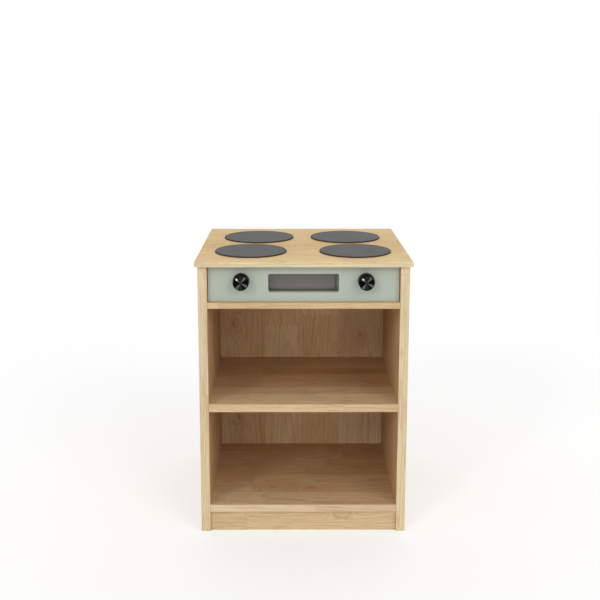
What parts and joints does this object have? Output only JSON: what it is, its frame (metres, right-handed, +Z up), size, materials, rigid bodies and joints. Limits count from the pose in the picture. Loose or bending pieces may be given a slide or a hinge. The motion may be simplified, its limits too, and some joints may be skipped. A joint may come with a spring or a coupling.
{
  "type": "toy oven",
  "caption": "Wooden play cooker with round hotplates, a sage green control panel with turning knobs and a display window, over an open oven split by a shelf.",
  "frame": {"origin": "on the floor, in the middle of the whole outline, knobs included", "axes": "+X to the right seen from the front, +Y from the front to the back, +Z up"},
  "size_m": [0.417, 0.406, 0.5527],
  "materials": {
    "cabinet_pine": "clear matt lacquer on edge-glued pine",
    "worktop_pine": "clear matt lacquer on edge-glued pine",
    "back_pine": "clear matt lacquer on edge-glued pine",
    "beech_dowel": "plain turned beech",
    "panel_green": "satin sage green lacquer on fibreboard",
    "spacer_dark": "dark stained fibreboard",
    "display_grey": "satin grey sheet, blank",
    "hotplate_grey": "matt dark grey lacquer on fibreboard",
    "knob_black": "spun black anodised, glossy",
    "zinc_steel": "bright zinc",
    "bush_nylon": "natural nylon"
  },
  "bodies": {
    "cabinet": {"back_panel": "back_pine", "back_panel_screws": "zinc_steel", "back_rail": "cabinet_pine", "bottom_shelf": "cabinet_pine", "ceiling_dowels": "beech_dowel", "compartment_ceiling": "cabinet_pine", "control_panel": "panel_green", "display_panel": "display_grey", "display_screws": "zinc_steel", "display_spacer": "spacer_dark", "hotplate_front_left": "hotplate_grey", "hotplate_front_right": "hotplate_grey", "hotplate_rear_left": "hotplate_grey", "hotplate_rear_right": "hotplate_grey", "middle_shelf": "cabinet_pine", "panel_block_screws": "zinc_steel", "panel_blocks": "cabinet_pine", "plinth": "cabinet_pine", "shelf_dowels": "beech_dowel", "side_panel_left": "cabinet_pine", "side_panel_right": "cabinet_pine", "spindle_bushes": "bush_nylon", "worktop": "worktop_pine", "worktop_dowels": "beech_dowel"},
    "left_knob": {"knob_left": "knob_black", "spindle_left": "zinc_steel", "rear_washer_left": "zinc_steel", "lock_nut_left": "zinc_steel"},
    "right_knob": {"knob_right": "knob_black", "spindle_right": "zinc_steel", "rear_washer_right": "zinc_steel", "lock_nut_right": "zinc_steel"}
  },
  "joints": [
    {"name": "left_knob_turn", "type": "hinge", "parent": "cabinet", "child": "left_knob", "pos_m": [-0.12, -0.1826, 0.51], "axis": [0, 1, 0], "continuous": true},
    {"name": "right_knob_turn", "type": "hinge", "parent": "cabinet", "child": "right_knob", "pos_m": [0.12, -0.1826, 0.51], "axis": [0, 1, 0], "continuous": true}
  ]
}
